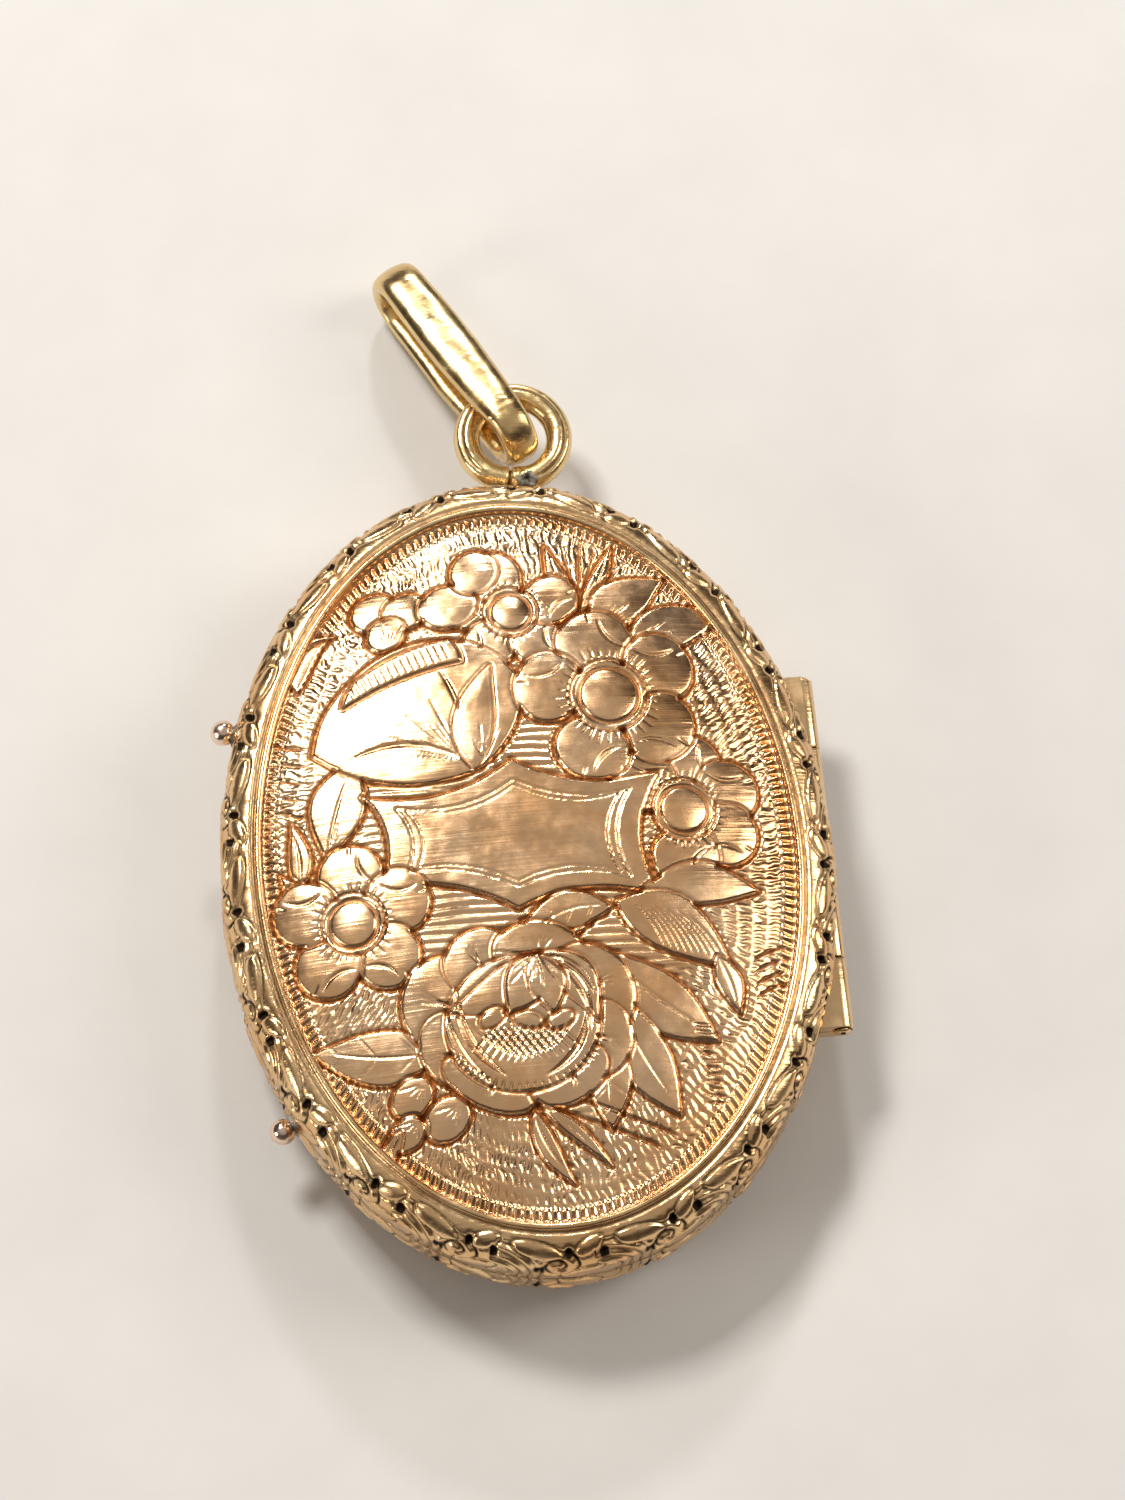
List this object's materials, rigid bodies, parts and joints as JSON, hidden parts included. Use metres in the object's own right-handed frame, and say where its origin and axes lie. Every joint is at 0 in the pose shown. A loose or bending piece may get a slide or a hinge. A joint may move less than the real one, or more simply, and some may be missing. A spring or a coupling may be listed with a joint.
{
  "type": "hinged photo locket",
  "caption": "Oval hinged locket with engraved domed covers, inner photo frames under glass, a soldered top loop and a swinging bail.",
  "frame": {"origin": "centre of the flat on the back, on the plane the locket rests on", "axes": "+Y towards the loop and bail, +Z from the back through the thickness to the front, +X towards the hinge"},
  "size_m": [0.0247, 0.0451, 0.0072],
  "materials": {
    "rose_gold_dome": "engraved and worn",
    "rose_gold_rim": "chased and worn",
    "rose_gold_inner": "brushed",
    "rose_gold_hinge": "polished",
    "yellow_gold_bail": "polished and worn",
    "rose_gold_bead": "polished",
    "tin_solder": "dull",
    "glass": "clear",
    "photo_card": "matt"
  },
  "bodies": {
    "back_half": {"back_dome": "rose_gold_dome", "back_rim": "rose_gold_rim", "back_photo_seat": "rose_gold_inner", "back_photo_card": "photo_card", "back_glass": "glass", "back_retaining_ring": "rose_gold_inner", "back_hinge_bearer": "rose_gold_hinge", "back_thumb_bead": "rose_gold_bead", "closing_lip": "rose_gold_inner", "hinge_pin": "rose_gold_hinge", "bail_loop": "yellow_gold_bail", "loop_seat": "tin_solder", "back_knuckle_1": "rose_gold_hinge", "back_knuckle_3": "rose_gold_hinge", "back_knuckle_5": "rose_gold_hinge"},
    "front_cover": {"front_dome": "rose_gold_dome", "front_rim": "rose_gold_rim", "front_photo_seat": "rose_gold_inner", "front_photo_card": "photo_card", "front_glass": "glass", "front_retaining_ring": "rose_gold_inner", "front_hinge_bearer": "rose_gold_hinge", "front_thumb_bead": "rose_gold_bead", "front_knuckle_2": "rose_gold_hinge", "front_knuckle_4": "rose_gold_hinge"},
    "bail": {"bail": "yellow_gold_bail"}
  },
  "joints": [
    {"name": "cover_hinge", "type": "hinge", "parent": "back_half", "child": "front_cover", "pos_m": [0.01195, 0, 0.0035], "axis": [0, 1, 0], "range_deg": [0, 108]},
    {"name": "bail_swing", "type": "hinge", "parent": "back_half", "child": "bail", "pos_m": [0.00131, 0.01947, 0.0029], "axis": [0, 0, 1], "range_deg": [-130, 78]}
  ]
}
